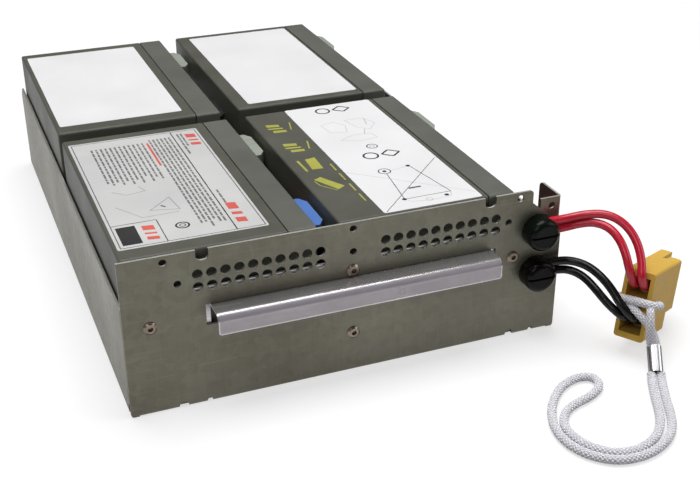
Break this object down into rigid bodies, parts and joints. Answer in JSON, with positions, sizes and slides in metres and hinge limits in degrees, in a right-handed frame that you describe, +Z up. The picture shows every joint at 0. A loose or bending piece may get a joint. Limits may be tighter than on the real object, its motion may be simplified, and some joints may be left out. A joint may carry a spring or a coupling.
{
  "type": "ups battery cartridge",
  "caption": "Sheet-metal tray with a pull handle, vents and a two-pole power plug on short leads, holding sealed batteries on their sides.",
  "frame": {"origin": "middle of the tray's underside", "axes": "+Z up, -Y out of the front panel with the pull handle, +X towards the end where the leads come out"},
  "size_m": [0.29, 0.4477, 0.082],
  "materials": {
    "zinc_sheet": "satin",
    "rivet_steel": "satin",
    "black_foam": "matt",
    "case_plastic": "satin",
    "tin_plate": "satin",
    "boot_grey": "satin",
    "boot_dark": "satin",
    "boot_blue": "satin",
    "nylon_green": "satin",
    "nylon_brown": "satin",
    "plug_yellow": "satin",
    "silver_contact": "satin",
    "lead_red": "satin",
    "lead_black": "satin",
    "white_cord": "matt",
    "ferrule_chrome": "polished"
  },
  "bodies": {
    "root": {"tray": "zinc_sheet", "pull_handle": "zinc_sheet", "panel_rivets": "rivet_steel", "foam_pad_front_front": "black_foam", "foam_pad_front_back": "black_foam", "foam_pad_rear_front": "black_foam", "foam_pad_rear_back": "black_foam", "battery_front_left_case": "case_plastic", "battery_front_left_lid": "case_plastic", "battery_front_left_terminal_front": "tin_plate", "battery_front_left_boot_front": "boot_blue", "battery_front_left_terminal_back": "tin_plate", "battery_front_left_boot_back": "boot_grey", "battery_front_right_case": "case_plastic", "battery_front_right_lid": "case_plastic", "battery_front_right_terminal_front": "tin_plate", "battery_front_right_boot_front": "boot_dark", "battery_front_right_terminal_back": "tin_plate", "battery_front_right_boot_back": "boot_grey", "battery_rear_left_case": "case_plastic", "battery_rear_left_lid": "case_plastic", "battery_rear_left_terminal_front": "tin_plate", "battery_rear_left_boot_front": "boot_dark", "battery_rear_left_terminal_back": "tin_plate", "battery_rear_left_boot_back": "boot_grey", "battery_rear_right_case": "case_plastic", "battery_rear_right_lid": "case_plastic", "battery_rear_right_terminal_front": "tin_plate", "battery_rear_right_boot_front": "boot_dark", "battery_rear_right_terminal_back": "tin_plate", "battery_rear_right_boot_back": "boot_grey", "strain_relief_upper": "nylon_green", "strain_relief_lower": "nylon_brown", "plug_housing": "plug_yellow", "plug_contact_upper": "silver_contact", "plug_contact_lower": "silver_contact", "lead_red_1": "lead_red", "lead_red_2": "lead_red", "lead_black_1": "lead_black", "lead_black_2": "lead_black", "inner_lead_red_1": "lead_red", "inner_lead_red_2": "lead_red", "inner_lead_black_1": "lead_black", "inner_lead_black_2": "lead_black", "jumper_left": "lead_black", "jumper_right": "lead_black", "cord_hitch": "white_cord", "cord_ferrule": "ferrule_chrome", "cord_loop": "white_cord"}
  },
  "joints": []
}
